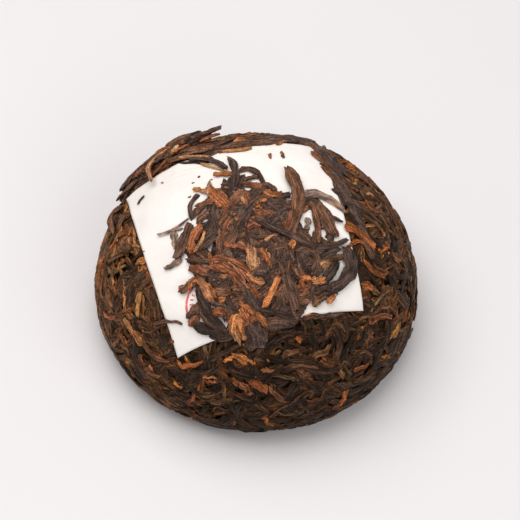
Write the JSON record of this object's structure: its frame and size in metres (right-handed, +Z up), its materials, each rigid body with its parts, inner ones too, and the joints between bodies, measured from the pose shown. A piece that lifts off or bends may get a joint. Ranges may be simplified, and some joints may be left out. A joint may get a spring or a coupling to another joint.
{
  "type": "pu erh tuocha",
  "caption": "Bowl-shaped cake of pressed dark tea strips with a hollow underneath and a square paper ticket pressed into its crown.",
  "frame": {"origin": "on the cake's axis, on the plane that the rim stands on", "axes": "+Z up through the crown, +X to the right as seen from the side where the paper shows least, +Y away from there"},
  "size_m": [0.0821, 0.0819, 0.048],
  "materials": {
    "tea_leaf": "dry, wrinkled dark leaf strips with a faint satin sheen and orange-brown tips",
    "ticket_paper": "thin uncoated off-white tissue paper, matte"
  },
  "bodies": {
    "root": {"tea_body": "tea_leaf", "paper_ticket": "ticket_paper"}
  },
  "joints": []
}
